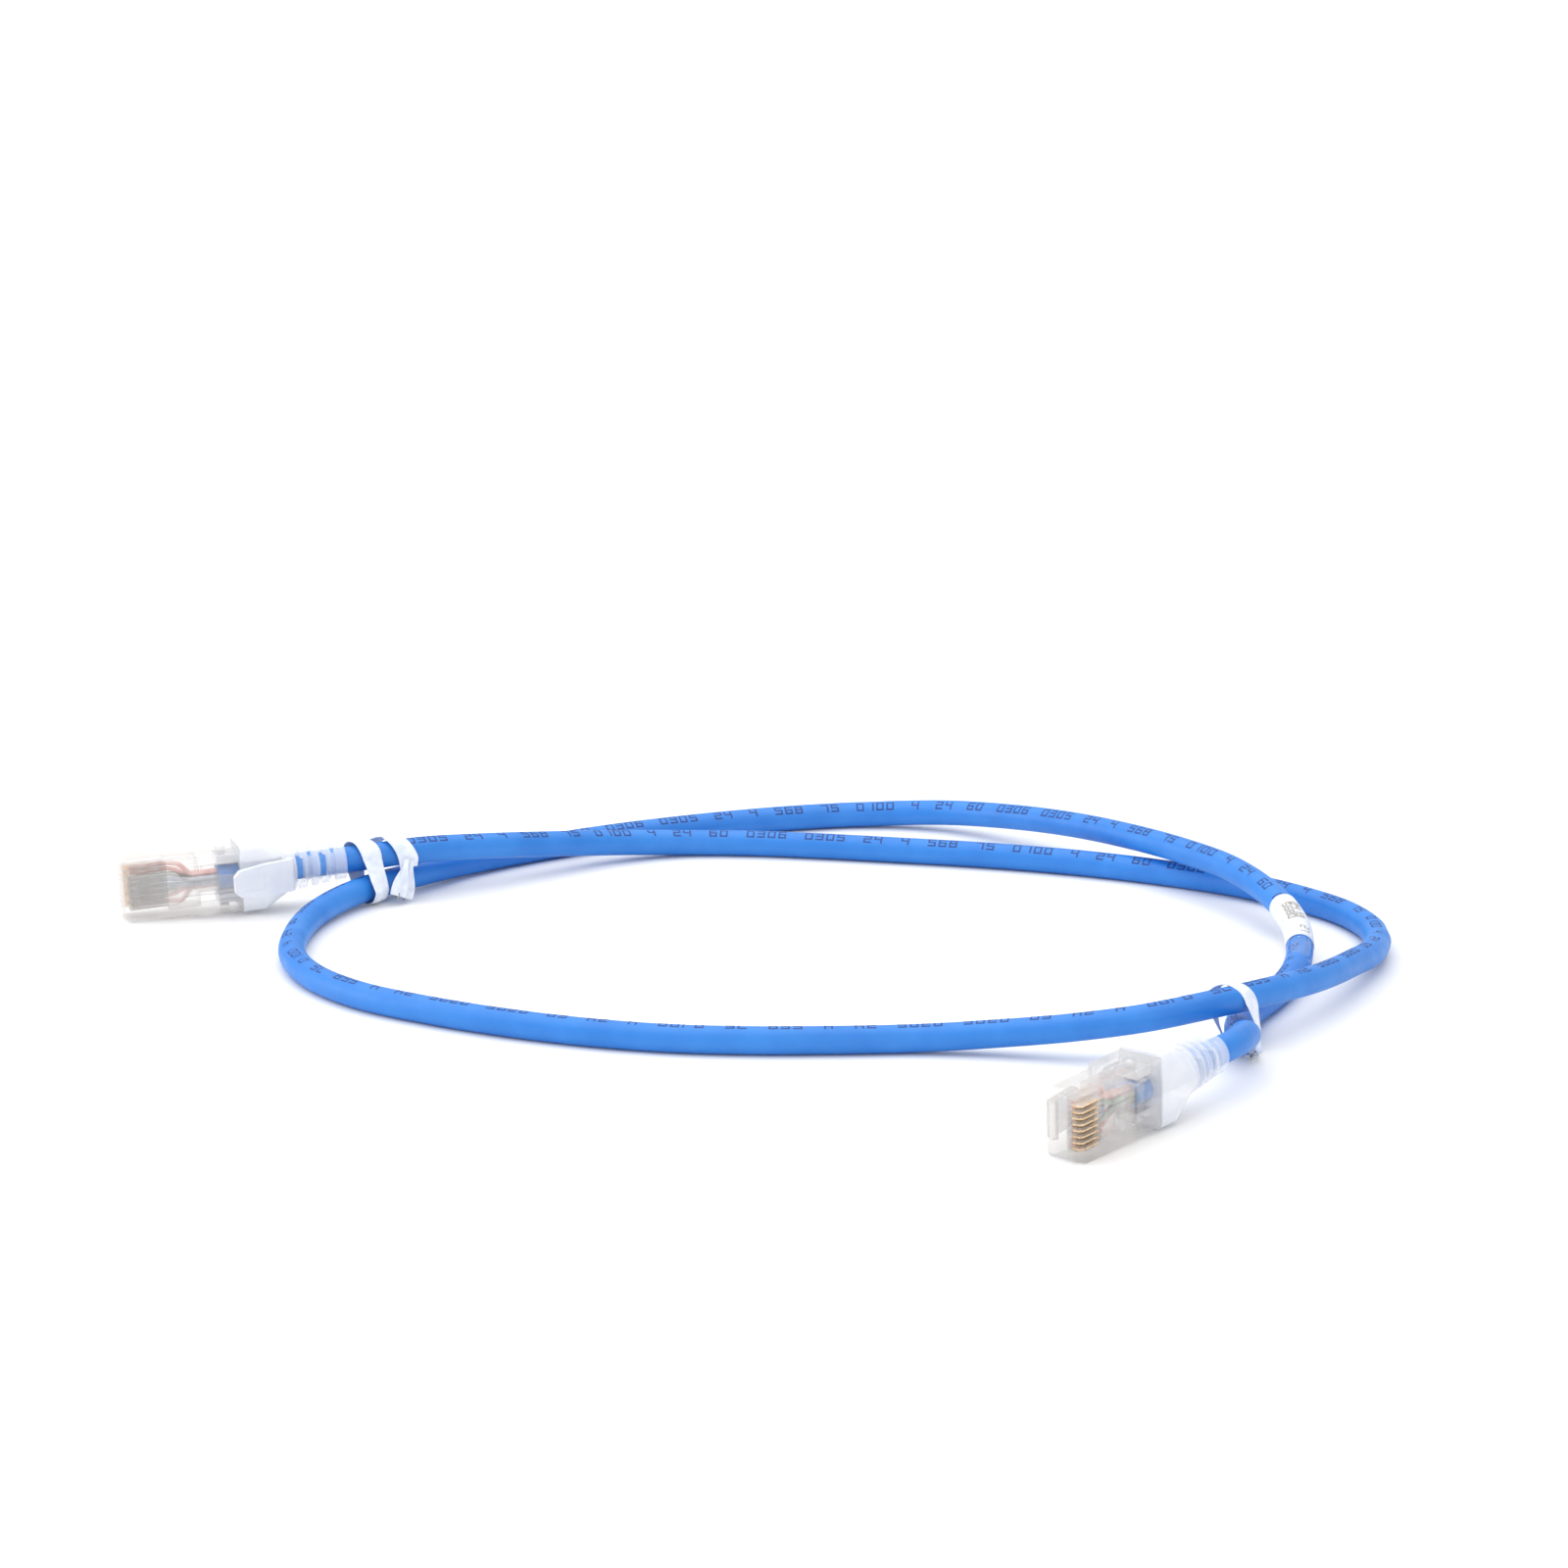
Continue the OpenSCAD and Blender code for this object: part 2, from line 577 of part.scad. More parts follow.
// One station of the ribbon, part f of the way round: its four corners
function ribbon(f, x, high, set) =
    let (a = oval(f, tie_low, high, tie_r), b = oval(f, tie_low, high, tie_r + tie_t))
    [leant(x - tie_w / 2, a, high, set), leant(x - tie_w / 2, b, high, set),
        leant(x + tie_w / 2, b, high, set), leant(x + tie_w / 2, a, high, set)];

// A tie's settings: where it stands, its heading, the upper run's height, its turns, how
// far it advances, its lean, how far its top stands aside, where round the oval it ends,
// and how its twisted tail is turned
tie_place = 0;
tie_yaw = 1;
tie_height = 2;
tie_turns = 3;
tie_advance = 4;
tie_lean = 5;
tie_aside = 6;
tie_end = 7;
tie_tail = 8;
left_set = [[-48.2, 77.2, 0], 37, 8.5, 1.9, 8.8, 0.29, 0, 0.53, [163, 0, 0]];
right_set = [[100.5, -16.4, 0], 62, 8.6, 0.95, 0.8, 0.42, 0.95, 0.75, [0, 88, 197]];
tie_low = tie_r + tie_t + 0.01;
tie_steps = 24;
tail_len = 6;
tail_start = 0.05;
tail_twist = 400;
wire_out = 1.2;
strand_y = strand_d / 2 * 0.96;
function tie_high(set) = set[tie_height] + jacket_r + fit - tie_r;
module at_tie(set) translate(set[tie_place]) rotate([0, 0, set[tie_yaw]]) children();
module at_tail(set) {
    q = oval(set[tie_end] - tail_start, tie_low, tie_high(set), tie_r + tie_t + strand_d / 4);
    at_tie(set) translate(leant(set[tie_advance] / 2, q, tie_high(set), set))
        rotate(set[tie_tail]) children();
}

module tie(set) color("white") {
    n = round(set[tie_turns] * tie_steps);
    at_tie(set) skin([for (i = [0:n])
        let (g = set[tie_end] - (n - i) / tie_steps, x = (i / n - 0.5) * set[tie_advance])
        ribbon(g - floor(g), x, tie_high(set), set)]);
    at_tail(set) linear_extrude(tail_len, twist = tail_twist, slices = 12)
        for (s = [-1, 1]) translate([s * strand_y, 0]) circle(d = strand_d, $fn = 8);
}
module tie_wire(set) color("silver") at_tail(set) translate([0, 0, tail_len])
    rotate([0, 0, -tail_twist])
    for (s = [-1, 1]) translate([s * strand_y, 0, 0]) cylinder(d = tie_wire_d, h = wire_out);

// ---------------------------------------------------------------- the nodes

cable();
label_wrap();
label_film();
tie(left_set);  // tie_left
tie_wire(left_set);  // tie_wire_left
tie(right_set);  // tie_right
tie_wire(right_set);  // tie_wire_right
at_a() housing();  // housing_a
at_a() latch();  // latch_a
at_a() contacts();  // contacts_a
at_a() load_bar();  // load_bar_a
at_a() wire_cores();  // wire_cores_a
at_a() pair(0, 1, orange);  // pair_orange_a
at_a() pair(2, 5, green);  // pair_green_a
at_a() pair(3, 4, blue);  // pair_blue_a
at_a() pair(6, 7, brown);  // pair_brown_a
at_a() jacket_end();  // jacket_end_a
at_a() boot();  // boot_a
at_a() press_pad();  // press_pad_a
at_b() housing();  // housing_b
at_b() latch();  // latch_b
at_b() contacts();  // contacts_b
at_b() load_bar();  // load_bar_b
at_b() wire_cores();  // wire_cores_b
at_b() pair(0, 1, orange);  // pair_orange_b
at_b() pair(2, 5, green);  // pair_green_b
at_b() pair(3, 4, blue);  // pair_blue_b
at_b() pair(6, 7, brown);  // pair_brown_b
at_b() jacket_end();  // jacket_end_b
at_b() boot();  // boot_b
at_b() press_pad();  // press_pad_b
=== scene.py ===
# %% [markdown]
# # A coiled patch cable, dressed over its CAD frame
#
# The frame holds every rigid piece of the part: two clear modular plugs with their contacts,
# wires, boots and levers, and plain solids for the cable, its label and its two twist ties.
# This script keeps the rigid pieces, gives each a material of its own, and models the soft
# ones again with their real surfaces. The scene is in metres, in the frame's own axes: X runs
# along the coil, Y across it, away from the camera, and Z up from the table. The cable's
# route and sizes are written in millimetres, and `MM` turns them to metres.

import math

import bpy
from mathutils import Matrix, Vector


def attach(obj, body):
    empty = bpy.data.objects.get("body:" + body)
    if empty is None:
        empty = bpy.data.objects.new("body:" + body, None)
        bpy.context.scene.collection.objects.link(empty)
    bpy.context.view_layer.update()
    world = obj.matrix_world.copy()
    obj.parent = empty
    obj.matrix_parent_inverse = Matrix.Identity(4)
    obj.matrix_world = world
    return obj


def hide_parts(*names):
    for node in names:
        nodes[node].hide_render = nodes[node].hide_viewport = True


MM = 0.001
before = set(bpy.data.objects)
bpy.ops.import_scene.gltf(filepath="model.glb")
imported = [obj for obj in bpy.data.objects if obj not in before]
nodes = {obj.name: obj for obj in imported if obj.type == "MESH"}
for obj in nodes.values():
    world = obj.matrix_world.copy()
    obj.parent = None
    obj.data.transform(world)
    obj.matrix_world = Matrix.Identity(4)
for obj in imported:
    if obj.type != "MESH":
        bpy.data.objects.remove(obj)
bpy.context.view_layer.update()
scene = bpy.context.scene

# %% [markdown]
# ## Camera
#
# A long lens close to the table: 14.5 degrees down, looking along +Y. From this distance the
# near side of the coil shows a little larger than the far side.

# %% Camera
CAMERA_PLACE = (0.025, -0.8658, 0.26555)
CAMERA_DOWN = 14.5
LENS, SENSOR_WIDTH = 121.8, 36
NEAR_CLIP, FAR_CLIP = 0.01, 50

camera_data = bpy.data.cameras.new("camera")
camera_data.lens, camera_data.sensor_width = LENS, SENSOR_WIDTH
camera_data.clip_start, camera_data.clip_end = NEAR_CLIP, FAR_CLIP
camera = bpy.data.objects.new("camera", camera_data)
camera.location = CAMERA_PLACE
camera.rotation_euler = (math.radians(90 - CAMERA_DOWN), 0, 0)
scene.collection.objects.link(camera)
scene.camera = camera
print("camera:", CAMERA_DOWN, "degrees down,", LENS, "mm lens")

# %% [markdown]
# ## The cable's route
#
# The route repeats the frame's own points, in millimetres from boot A to boot B: two turns on
# the table, in long low humps where one run lies over another. The cable leaves each boot
# straight, in line with its plug, for the length `LEAD`.

# %% Points of the cable's axis
JACKET_R = 2.4
LEAD = 6.0


def heading(yaw, tilt):
    """Unit vector of a plug's axis from its nose to its cord, from two angles in degrees."""
    yaw, tilt = math.radians(yaw), math.radians(tilt)
    level = math.cos(tilt)
    return Vector((math.cos(yaw) * level, math.sin(yaw) * level, math.sin(tilt)))


END_A, WAY_A = Vector((-56, 74.7, 7.9)), heading(17.5, 2.975)
END_B, WAY_B = Vector((94.5, -43.3, 7.6)), heading(50.5, 2.541)
MIDDLE = [
    (-43.5, 79.2, 8.5), (-32, 85.4, 7.6), (-20, 94, 5.7), (-8, 102, 3.8),
    (5, 106.6, 2.6), (18, 106.8, 2.4), (32, 104.8, 2.4), (46, 102, 2.4),
    (60, 99, 2.4), (74, 95, 2.4), (87, 90, 2.4), (99, 84, 2.4),
    (110, 77, 2.4), (119.5, 68, 2.4), (127, 57.5, 2.4), (130.6, 45, 2.4),
    (129, 32, 3.2), (123.5, 17.5, 5), (115, 0.8, 7), (106, -10.8, 8.3),
    (96.5, -18.8, 8.6), (85, -22.8, 7.4), (73, -22, 5.5), (61, -19.8, 3.8),
    (48, -18.5, 2.6), (34, -19, 2.4), (20, -19.2, 2.4), (6, -18, 2.4),
    (-8, -14.5, 2.4), (-22, -9, 2.4), (-36, -1.5, 2.4), (-48, 7, 2.4),
    (-57, 18.5, 2.4), (-61.5, 31, 2.4), (-62, 44, 2.4), (-59.5, 58, 2.6),
    (-53.8, 70, 2.9), (-45, 81, 2.9), (-35, 92, 2.6), (-24.5, 101, 2.4),
    (-12.5, 109, 2.4), (0.5, 115.8, 2.4), (14.5, 121.6, 2.4), (28.5, 126, 2.4),
    (43, 128, 2.6), (56, 125, 3.6), (68, 116.8, 5), (79, 106, 6.4),
    (89, 94, 7.4), (98.5, 81.5, 7.9), (107, 69, 7.7), (113, 55.8, 6.4),
    (116, 43, 4.6), (115.8, 31, 3), (112.8, 17, 2.4), (108.6, 6, 2.4),
    (104.8, -2, 2.4), (101.8, -9.9, 2.6), (101.1, -17.4, 3.2), (101.4, -24.9, 5.2),
    (100.8, -32.2, 7.2),
]
route = [END_A, END_A + LEAD * WAY_A]
route += [Vector(p) for p in MIDDLE]
route += [END_B + LEAD * WAY_B, END_B]
print("route:", len(route), "points")

# %% [markdown]
# ## A smooth line through the route
#
# A laid cable bends evenly, with no corner at any point. Between the points the axis follows a
# cubic whose slope at each point is the mean of the two chords that meet there. A Bezier curve
# with automatic handles would look much the same, but this one can be measured and followed by
# a number: place 3.25 is a quarter of the way from point 3 to point 4.

# %% The smooth line
RIGHT_MOST, BACK_MOST = 130.46, 127.86  # the axis keeps inside the solid cable's own box
STRIDE = 0.01  # how far to look along the route for its direction, in places


def slopes(points):
    """Slope of the smooth line at each point, as travel per unit of length."""
    found = [(points[1] - points[0]).normalized()]
    for a, b, c in zip(points, points[1:], points[2:]):
        before, after = (b - a).length, (c - b).length
        found.append(((b - a) / before * after + (c - b) / after * before) / (before + after))
    return found + [(points[-1] - points[-2]).normalized()]


route_slopes = slopes(route)


def on_route(place):
    """Point of the smooth line at a place."""
    i = min(int(place), len(route) - 2)
    f = place - i
    a, b, length = route[i], route[i + 1], (route[i + 1] - route[i]).length
    slope_a, slope_b = route_slopes[i], route_slopes[i + 1]
    return (a * (2 * f**3 - 3 * f**2 + 1) + b * (3 * f**2 - 2 * f**3)
            + slope_a * length * (f**3 - 2 * f**2 + f) + slope_b * length * (f**3 - f**2))


def axis_at(place):
    """Point of the cable's axis, in mm, with its level side and its upper side."""
    here = on_route(place)
    here = Vector((min(here.x, RIGHT_MOST), min(here.y, BACK_MOST), max(here.z, JACKET_R)))
    ahead = on_route(min(place + STRIDE, len(route) - 1))
    behind = on_route(max(place - STRIDE, 0))
    way = (ahead - behind).normalized()
    side = way.cross(Vector((0, 0, 1))).normalized()
    return here, side, side.cross(way)


def round_axis(place, turn, radius):
    """Point at a radius in mm from the axis, at a turn in radians above its level side."""
    centre, side, up = axis_at(place)
    return centre + radius * (math.cos(turn) * side + math.sin(turn) * up)


print("highest point of the axis:", round(max(p.z for p in route), 1), "mm")

# %% [markdown]
# ## Distances along the cable
#
# A cable is cut and printed by length, so the script also needs to turn a distance from boot A
# into a place on the route, and back. It adds up short steps and looks the distance up in them.

# %% Measuring along the route
PER_SPAN = 12
places = [i / PER_SPAN for i in range((len(route) - 1) * PER_SPAN + 1)]
axis = [axis_at(p)[0] for p in places]
travel = [0.0]
for a, b in zip(axis, axis[1:]):
    travel.append(travel[-1] + (b - a).length)
free_length = travel[-1]


def place_at(distance):
    """Place on the route at a distance in mm from boot A."""
    low = max(i for i, t in enumerate(travel) if t <= distance + 1e-9)
    if low == len(travel) - 1:
        return places[-1]
    f = (distance - travel[low]) / (travel[low + 1] - travel[low])
    return places[low] + f * (places[low + 1] - places[low])


def distance_at(place):
    """Distance in mm from boot A at a place on the route."""
    return travel[round(place * PER_SPAN)]


print("free cable:", round(free_length, 1), "mm")

# %% [markdown]
# ## Small tools
#
# Colours are written as sRGB hex, as a colour chart gives them, and turned into the linear
# values that shaders work in. `node` adds one shader or geometry node and fills its inputs,
# `mesh_of` builds a mesh from points in millimetres, and `piece` makes a finished object that
# rides on the part's root body.

# %% Tools for colours, nodes and pieces


def srgb(code):
    """Linear colour with alpha from an sRGB hex code."""
    parts = [int(code[i:i + 2], 16) / 255 for i in (1, 3, 5)]
    linear = [c / 12.92 if c <= 0.04045 else ((c + 0.055) / 1.055) ** 2.4 for c in parts]
    return (*linear, 1.0)


def node(tree, kind, inputs=None, **settings):
    """Adds a node to a tree. Inputs take a number, a colour or another node's output."""
    made = tree.nodes.new(kind)
    for name, value in settings.items():
        setattr(made, name, value)
    for name, value in (inputs or {}).items():
        if isinstance(value, bpy.types.NodeSocket):
            tree.links.new(value, made.inputs[name])
        else:
            made.inputs[name].default_value = value
    return made


def mesh_of(name, points, faces, edges=()):
    """A mesh from points in mm."""
    mesh = bpy.data.meshes.new(name)
    mesh.from_pydata([tuple(Vector(p) * MM) for p in points], edges, faces)
    mesh.update()
    return mesh


def piece(name, mesh, finish, stands_for=()):
    """Links a mesh as a piece of the part, with its material and the nodes it stands for."""
    made = bpy.data.objects.new(name, mesh)
    scene.collection.objects.link(made)
    mesh.materials.clear()
    mesh.materials.append(finish)
    for face in mesh.polygons:
        face.use_smooth = True
    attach(made, "root")
    if stands_for:
        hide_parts(*stands_for)
    return made


print("half-way grey is", round(srgb("#808080")[0], 3), "in linear light")

# %% [markdown]
# ## Materials
#
# Each material is a Principled surface whose colour, roughness and relief vary as the real
# finish does. Patterns are sized in real millimetres: `scale_of(0.4)` is the noise scale
# whose features measure about 0.4 mm. Noise keeps mostly to the middle of its range, so the
# colours and the roughness are spread over that middle part.

# %% Materials: the common surface
TONE_SPREAD = (0.35, 0.65)
ROUGH_SPREAD = (0.3, 0.7)


def scale_of(size_mm):
    """Noise scale, per metre, whose features are about that many mm across."""
    return 1 / (size_mm * MM)


def surface(name, dark, light, tone_size, rough, rough_size, relief, relief_size,
            **constants):
    """A Principled material: two mixed colours, a roughness range and a fine relief in mm."""
    made = bpy.data.materials.new(name)
    made.use_nodes = True
    tree = made.node_tree
    tree.nodes.clear()
    where = node(tree, "ShaderNodeTexCoord").outputs["Object"]
    tone = node(tree, "ShaderNodeTexNoise", {
        "Vector": where, "Scale": scale_of(tone_size), "Detail": 3.0, "Roughness": 0.55})
    colour = node(tree, "ShaderNodeValToRGB", {"Fac": tone.outputs["Fac"]})
    for stop, place, code in zip(colour.color_ramp.elements, TONE_SPREAD, (dark, light)):
        stop.position = place
        stop.color = srgb(code)
    patches = node(tree, "ShaderNodeTexNoise", {
        "Vector": where, "Scale": scale_of(rough_size), "Detail": 2.0})
    roughness = node(tree, "ShaderNodeMapRange", {
        "Value": patches.outputs["Fac"],
        "From Min": ROUGH_SPREAD[0], "From Max": ROUGH_SPREAD[1],
        "To Min": rough[0], "To Max": rough[1]})
    grain = node(tree, "ShaderNodeTexNoise", {
        "Vector": where, "Scale": scale_of(relief_size), "Detail": 2.0})
    bump = node(tree, "ShaderNodeBump", {
        "Height": grain.outputs["Fac"], "Distance": relief * MM, "Strength": 1.0})
    shader = node(tree, "ShaderNodeBsdfPrincipled", {
        "Base Color": colour.outputs["Color"], "Roughness": roughness.outputs["Result"],
        "Normal": bump.outputs["Normal"], **constants})
    node(tree, "ShaderNodeOutputMaterial", {"Surface": shader.outputs["BSDF"]})
    return made


def principled(made):
    """The Principled shader of a material."""
    return next(n for n in made.node_tree.nodes if n.type == "BSDF_PRINCIPLED")


print("noise scale for 0.4 mm:", scale_of(0.4), "per metre")

# %% [markdown]
# The jacket is soft blue PVC with the faint orange-peel skin that an extruder leaves, dull
# enough to show a broad, soft highlight. The ink on it is a darker blue. Inside the
# plugs the jacket's end is a paler blue, painted light where the clear plastic round it
# keeps the lamps off.

# %% Materials: cable and label
jacket_pvc = surface(
    "soft_blue_pvc_jacket", "#2076CD", "#2B80D6", tone_size=9, rough=(0.4, 0.52),
    rough_size=3, relief=0.012, relief_size=0.35, IOR=1.5, **{"Specular IOR Level": 0.5})
jacket_ink = surface(
    "dark_blue_ink", "#123A80", "#1C478F", tone_size=0.8, rough=(0.5, 0.65),
    rough_size=0.5, relief=0.002, relief_size=0.2, IOR=1.5)
# A paler copy of the jacket blue, as painted light on the jacket's end inside the plugs.
lit_jacket_end_pvc = surface(
    "jacket_end_painted_light_pvc", "#4E90DC", "#6FA8EA", tone_size=3, rough=(0.35, 0.5),
    rough_size=2, relief=0.01, relief_size=0.5, IOR=1.5)
label_vinyl = surface(
    "white_vinyl_label", "#D6DDEB", "#E4E9F3", tone_size=4, rough=(0.34, 0.46),
    rough_size=2, relief=0.006, relief_size=0.5, IOR=1.5)
label_ink = surface(
    "warm_grey_ink", "#9C958C", "#B5AEA5", tone_size=0.6, rough=(0.5, 0.6),
    rough_size=0.5, relief=0.002, relief_size=0.2, IOR=1.5)
print("cable and label:", len(bpy.data.materials), "materials so far")

# %% [markdown]
# The plug bodies, levers and load bars are clear moulded polycarbonate: glossy, with slight
# flow ripples from the mould. A clear wall shows itself at its edges, where the eye grazes it,
# so its cover follows the facing, and there its colour is darkened to a painted grey shade.
# Glass that only bends light would leave the wires behind it dark, because lamps don't shine
# straight through it, so part of the cover is plain transparency. The label's tail is a clear
# polyester film.

# %% Materials: clear plastics
GRAZE_BLEND = 0.35
GRAZE_SPREAD = (0.25, 0.95)


def show_edges(made, cover, edge_cover, graze_painted_shade):
    """Makes a clear material denser where the eye grazes it, and greyer there with painted
    shade.
    """
    tree, shader = made.node_tree, principled(made)
    graze = node(tree, "ShaderNodeLayerWeight", {"Blend": GRAZE_BLEND}).outputs["Facing"]
    covers = node(tree, "ShaderNodeMapRange", {
        "Value": graze, "From Min": GRAZE_SPREAD[0], "From Max": GRAZE_SPREAD[1],
        "To Min": cover, "To Max": edge_cover})
    # The colour turns to a painted grey shade where the eye grazes the wall.
    graze_shaded = node(tree, "ShaderNodeMixRGB", {
        "Fac": graze, "Color1": shader.inputs["Base Color"].links[0].from_socket,
        "Color2": srgb(graze_painted_shade)})
    tree.links.new(covers.outputs["Result"], shader.inputs["Alpha"])
    tree.links.new(graze_shaded.outputs["Color"], shader.inputs["Base Color"])


clear_pc = surface(
    "clear_polycarbonate", "#ECE8E6", "#F6F4F2", tone_size=5, rough=(0.04, 0.09),
    rough_size=2.5, relief=0.008, relief_size=2.2, IOR=1.46,
    **{"Transmission Weight": 0.5})
film_pet = surface(
    "clear_film", "#FBFCFE", "#FFFFFF", tone_size=3, rough=(0.03, 0.08),
    rough_size=2, relief=0.006, relief_size=1.5, IOR=1.3,
    **{"Transmission Weight": 1.0, "Alpha": 0.16})
# The polycarbonate's edges take #BCB8B5 as a painted grey shade.
show_edges(clear_pc, cover=0.24, edge_cover=0.8, graze_painted_shade="#BCB8B5")
print("clear plastics:", clear_pc.name, "and", film_pet.name)

# %% [markdown]
# The boots are a translucent soft PVC, which scatters. Their hood is thick and nearly white,
# and the blue jacket shows through the thin ribbed sleeve, so their cover follows the distance
# along the plug. The two plugs lie in different directions, so each boot has its own material.

# %% Materials: boots
SLEEVE_LEN = 10  # length of the ribbed sleeve, back from the cord's end of the boot, in mm
FADE = 1  # half of the length over which the hood gives way to the sleeve, in mm
HOOD_COVER, SLEEVE_COVER = 0.72, 0.34


def boot_pvc(name, end, way):
    """Boot PVC: dense at the hood, thin along the sleeve that ends at `end`."""
    made = surface(
        name, "#F1F4FB", "#FBFCFF", tone_size=4, rough=(0.36, 0.48),
        rough_size=2.5, relief=0.003, relief_size=1.1, IOR=1.4,
        **{"Transmission Weight": 0.15})
    tree = made.node_tree
    along = node(tree, "ShaderNodeVectorMath", {
        0: node(tree, "ShaderNodeTexCoord").outputs["Object"], 1: tuple(way)},
        operation="DOT_PRODUCT")
    last = end.dot(way) * MM
    cover = node(tree, "ShaderNodeMapRange", {
        "Value": along.outputs["Value"],
        "From Min": last - (SLEEVE_LEN + FADE) * MM,
        "From Max": last - (SLEEVE_LEN - FADE) * MM,
        "To Min": HOOD_COVER, "To Max": SLEEVE_COVER})
    tree.links.new(cover.outputs["Result"], principled(made).inputs["Alpha"])
    return made


boot_pvc_a = boot_pvc("translucent_boot_pvc_a", END_A, WAY_A)
boot_pvc_b = boot_pvc("translucent_boot_pvc_b", END_B, WAY_B)
print("boots:", boot_pvc_a.name, "and", boot_pvc_b.name)

# %% [markdown]
# The blades are gold over nickel, lightly brushed by the press tool. The cores are drawn
# copper, the ties' wires are cut steel, and the insulation is a waxy polyethylene in the four
# pair colours. The ties' own plastic is white PVC, rumpled by the hand that turned it.

# %% Materials: metals, wires and ties
gold = surface(
    "gold_plated_contact", "#EDBE83", "#FADDB2", tone_size=0.7, rough=(0.2, 0.34),
    rough_size=0.4, relief=0.004, relief_size=0.15, Metallic=1.0)
copper = surface(
    "bright_drawn_copper", "#C06A3E", "#DB8A5A", tone_size=0.5, rough=(0.22, 0.36),
    rough_size=0.3, relief=0.003, relief_size=0.12, Metallic=1.0)
steel = surface(
    "cut_steel_wire", "#8F8F8F", "#B5B5B3", tone_size=0.4, rough=(0.3, 0.5),
    rough_size=0.3, relief=0.004, relief_size=0.12, Metallic=1.0)
PAIR_TONES = {
    "orange": ("#E9A39A", "#F3CFC9"), "green": ("#869F92", "#BECCC4"),
    "blue": ("#A3B0C8", "#D8DEE9"), "brown": ("#DEA6A0", "#EFCFCB"),
}
insulation = {
    pair: surface("polyethylene_" + pair, dark, light, tone_size=1.5, rough=(0.4, 0.5),
                  rough_size=1, relief=0.003, relief_size=0.3, IOR=1.51)
    for pair, (dark, light) in PAIR_TONES.items()
}
tie_plastic = surface(
    "white_tie_plastic", "#D3DBEA", "#E7ECF6", tone_size=1.6, rough=(0.38, 0.55),
    rough_size=1, relief=0.05, relief_size=0.9, IOR=1.5)
print("materials:", len(bpy.data.materials))

# %% [markdown]
# ## Dressing the rigid nodes
#
# The frame's own nodes keep their shapes. Each takes its material by the start of its name.

# %% Materials on the frame's nodes
finishes = {
    "housing": clear_pc, "latch": clear_pc, "load_bar": clear_pc,
    "boot_a": boot_pvc_a, "press_pad_a": boot_pvc_a,
    "boot_b": boot_pvc_b, "press_pad_b": boot_pvc_b,
    "contacts": gold, "wire_cores": copper, "jacket_end": lit_jacket_end_pvc,
    **{"pair_" + pair: finish for pair, finish in insulation.items()},
}
for name, obj in nodes.items():
    for start, finish in finishes.items():
        if name.startswith(start):
            for material_slot in obj.material_slots:
                material_slot.material = finish
print("dressed:", sum(name.startswith(tuple(finishes)) for name in nodes), "nodes")

# %% [markdown]
# ## A tube that follows a path
#
# A round thing that follows a line is a circle swept along it. A small Geometry Nodes group
# turns a chain of edges into a curve, sweeps the circle, closes the ends and gives the tube
# its material. The result is kept as a plain mesh.

# %% Geometry Nodes group for tubes
tube_group = bpy.data.node_groups.new("tube_along_path", "GeometryNodeTree")
for label, kind in (("Geometry", "NodeSocketGeometry"), ("Radius", "NodeSocketFloat"),
                    ("Sides", "NodeSocketInt"), ("Finish", "NodeSocketMaterial")):
    tube_group.interface.new_socket(label, in_out="INPUT", socket_type=kind)
tube_group.interface.new_socket("Geometry", in_out="OUTPUT", socket_type="NodeSocketGeometry")
given = node(tube_group, "NodeGroupInput").outputs
curve = node(tube_group, "GeometryNodeMeshToCurve", {"Mesh": given["Geometry"]})
circle = node(tube_group, "GeometryNodeCurvePrimitiveCircle", {
    "Resolution": given["Sides"], "Radius": given["Radius"]})
swept = node(tube_group, "GeometryNodeCurveToMesh", {
    "Curve": curve.outputs["Curve"], "Profile Curve": circle.outputs["Curve"],
    "Fill Caps": True})
whole = node(tube_group, "GeometryNodeRealizeInstances", {"Geometry": swept.outputs["Mesh"]})
painted = node(tube_group, "GeometryNodeSetMaterial", {
    "Geometry": whole.outputs["Geometry"], "Material": given["Finish"]})
node(tube_group, "NodeGroupOutput", {"Geometry": painted.outputs["Geometry"]})
tube_inputs = {s.name: s.identifier for s in tube_group.interface.items_tree
               if s.in_out == "INPUT"}
print("tube group:", len(tube_group.nodes), "nodes, inputs", ", ".join(tube_inputs))

# %% [markdown]
# ## The cable
#
# The free cable is one smooth tube from boot to boot, and stands for the frame's plain one.
# The group works on a holder object that is only a line. Once the tube has been evaluated,
# its mesh is copied out, and the holder goes.

# %% Cable jacket
JACKET_SIDES = 28


def tube_mesh(name, path, radius, sides, finish):
    """A closed tube along points in mm, as a finished mesh."""
    links = [(i, i + 1) for i in range(len(path) - 1)]
    line = mesh_of(name + "_path", path, [], links)
    holder = bpy.data.objects.new(name + "_path", line)
    scene.collection.objects.link(holder)
    sweep = holder.modifiers.new("sweep", "NODES")
    sweep.node_group = tube_group
    sweep[tube_inputs["Radius"]] = radius * MM
    sweep[tube_inputs["Sides"]] = sides
    sweep[tube_inputs["Finish"]] = finish
    bpy.context.view_layer.update()
    graph = bpy.context.evaluated_depsgraph_get()
    made = bpy.data.meshes.new_from_object(holder.evaluated_get(graph))
    made.name = name
    bpy.data.objects.remove(holder)
    bpy.data.meshes.remove(line)
    return made


jacket = piece("cable_jacket",
               tube_mesh("cable_jacket", axis, JACKET_R, JACKET_SIDES, jacket_pvc),
               jacket_pvc, ["cable"])
print("jacket:", len(jacket.data.polygons), "faces")

# %% [markdown]
# ## Figures printed on a round surface
#
# A wheel prints plain numbers along the jacket. Each figure is drawn from the seven strokes
# of a counter's digit, and each stroke is a small strip bent round the cable. A font would
# need wrapping and leaves thousands of faces, while strokes lie on the surface from the start.

